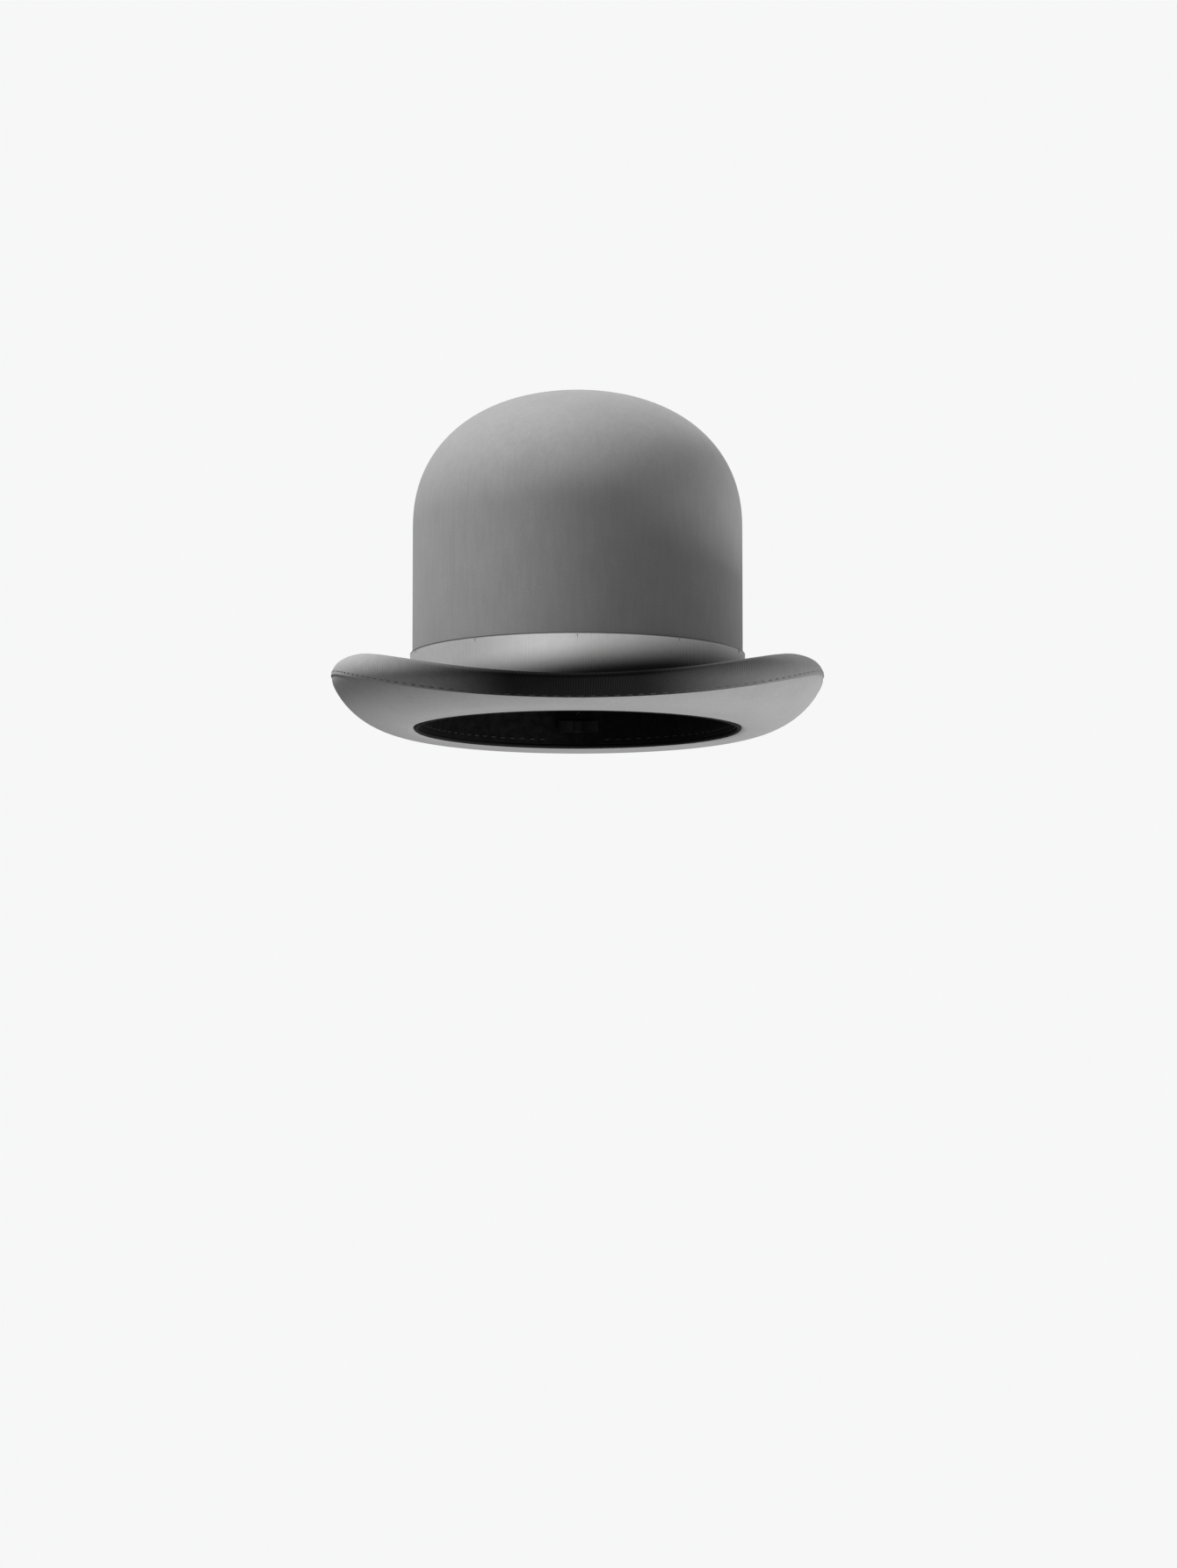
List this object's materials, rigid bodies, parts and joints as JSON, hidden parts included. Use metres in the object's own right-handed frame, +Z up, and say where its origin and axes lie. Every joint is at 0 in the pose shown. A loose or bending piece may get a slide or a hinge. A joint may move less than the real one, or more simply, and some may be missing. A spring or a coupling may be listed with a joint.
{
  "type": "bowler hat",
  "caption": "Bowler hat with a tall domed crown, wide ribbon band and bow, bound and curled brim, reeded leather sweatband and satin lining",
  "frame": {"origin": "The middle of the flat underside of the brim that the hat stands on, under the middle of the crown", "axes": "+Z is up, -Y is the front of the hat, +X is the wearer's left"},
  "size_m": [0.2572, 0.3074, 0.1768],
  "materials": {
    "felt": "matt fur felt with a short nap",
    "binding_ribbon": "fine ribbed grosgrain",
    "band_ribbon": "fine ribbed grosgrain, paler at its upper edge",
    "sweatband_leather": "smooth thin leather",
    "reed": "plain",
    "tape_cloth": "plain woven tape",
    "inside_ribbon": "narrow satin ribbon",
    "lining_satin": "satin",
    "clear_film": "clear soft film",
    "ticket_paper": "blank",
    "dark_thread": "twisted thread"
  },
  "bodies": {
    "root": {"felt_body": "felt", "brim_binding": "binding_ribbon", "binding_stitches": "dark_thread", "hat_band": "band_ribbon", "band_tacks": "dark_thread", "bow_loop": "band_ribbon", "bow_tail": "band_ribbon", "bow_knot": "band_ribbon", "sweatband": "sweatband_leather", "sweatband_reed": "reed", "reed_tape": "tape_cloth", "sweatband_stitches": "dark_thread", "seam_tape": "tape_cloth", "seam_stitches": "dark_thread", "inside_bow_loop": "inside_ribbon", "inside_bow_knot": "inside_ribbon", "lining_side": "lining_satin", "lining_tip": "lining_satin", "tip_protector": "clear_film", "protector_stitches": "dark_thread", "size_ticket": "ticket_paper"}
  },
  "joints": []
}
